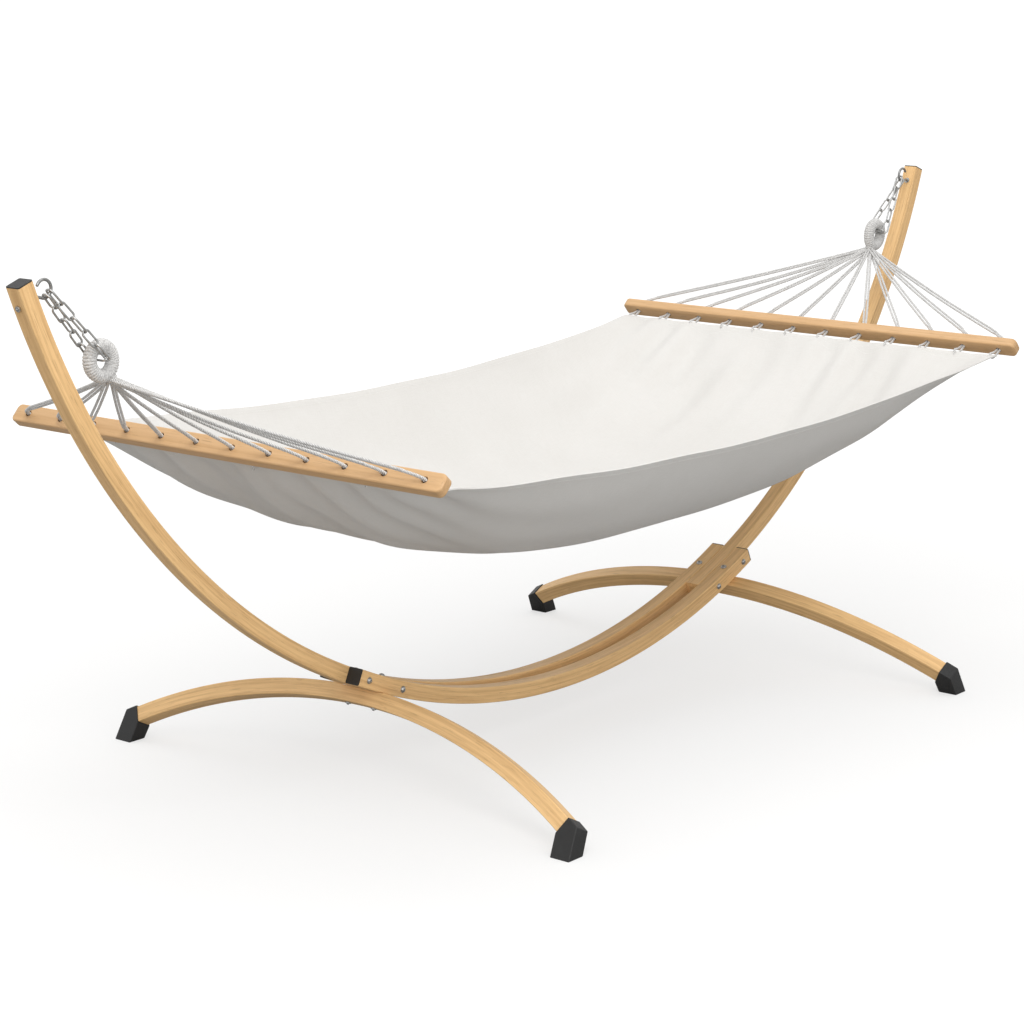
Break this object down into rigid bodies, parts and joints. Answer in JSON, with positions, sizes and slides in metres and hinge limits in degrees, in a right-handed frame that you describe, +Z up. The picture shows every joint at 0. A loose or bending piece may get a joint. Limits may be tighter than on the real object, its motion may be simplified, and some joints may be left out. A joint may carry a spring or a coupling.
{
  "type": "hammock on stand",
  "caption": "Spreader-bar hammock in pale canvas on a curved wooden stand with arched feet and short chains.",
  "frame": {"origin": "on the ground under the middle of the stand", "axes": "+X along the stand's length, +Y across it to the back, +Z up"},
  "size_m": [3.0344, 1.2536, 1.1309],
  "materials": {
    "wood": "oiled larch, satin",
    "bar_wood": "sanded hardwood, matt",
    "black_plastic": "satin moulded",
    "steel": "zinc-plated, dulled",
    "bolts": "zinc-plated",
    "chain": "zinc-plated",
    "rope": "twisted and whipped cotton cord",
    "canvas": "plain-weave cotton canvas"
  },
  "bodies": {
    "stand": {"middle_beam_front": "wood", "middle_beam_back": "wood", "arm_left": "wood", "foot_beam_left": "wood", "arm_cap_left": "black_plastic", "hook_left": "steel", "hook_washer_left": "steel", "hook_nut_left": "steel", "beam_cap_left_front": "black_plastic", "foot_cap_left_front": "black_plastic", "foot_bolt_left_front": "bolts", "foot_nut_left_front": "bolts", "beam_cap_left_back": "black_plastic", "foot_cap_left_back": "black_plastic", "foot_bolt_left_back": "bolts", "foot_nut_left_back": "bolts", "side_bolt_left_lower": "bolts", "side_nut_left_lower": "bolts", "side_bolt_left_upper": "bolts", "side_nut_left_upper": "bolts", "arm_right": "wood", "foot_beam_right": "wood", "arm_cap_right": "black_plastic", "hook_right": "steel", "hook_washer_right": "steel", "hook_nut_right": "steel", "beam_cap_right_front": "black_plastic", "foot_cap_right_front": "black_plastic", "foot_bolt_right_front": "bolts", "foot_nut_right_front": "bolts", "beam_cap_right_back": "black_plastic", "foot_cap_right_back": "black_plastic", "foot_bolt_right_back": "bolts", "foot_nut_right_back": "bolts", "side_bolt_right_lower": "bolts", "side_nut_right_lower": "bolts", "side_bolt_right_upper": "bolts", "side_nut_right_upper": "bolts"},
    "suspension": {"chain_eye_link_left": "chain", "chain_left_front": "chain", "chain_left_back": "chain", "chain_eye_link_right": "chain", "chain_right_front": "chain", "chain_right_back": "chain"},
    "bed": {"spreader_bar_left": "bar_wood", "rope_eye_left": "rope", "cord_fan_left": "rope", "spreader_bar_right": "bar_wood", "rope_eye_right": "rope", "cord_fan_right": "rope", "hammock_cloth": "canvas"}
  },
  "joints": [
    {"name": "hammock_swing", "type": "hinge", "parent": "stand", "child": "suspension", "pos_m": [0, 0, 1.0971], "axis": [1, 0, 0], "range_deg": [-20, 20]},
    {"name": "bed_tilt", "type": "hinge", "parent": "suspension", "child": "bed", "pos_m": [0, 0, 0.9879], "axis": [1, 0, 0], "range_deg": [-12, 12]}
  ]
}
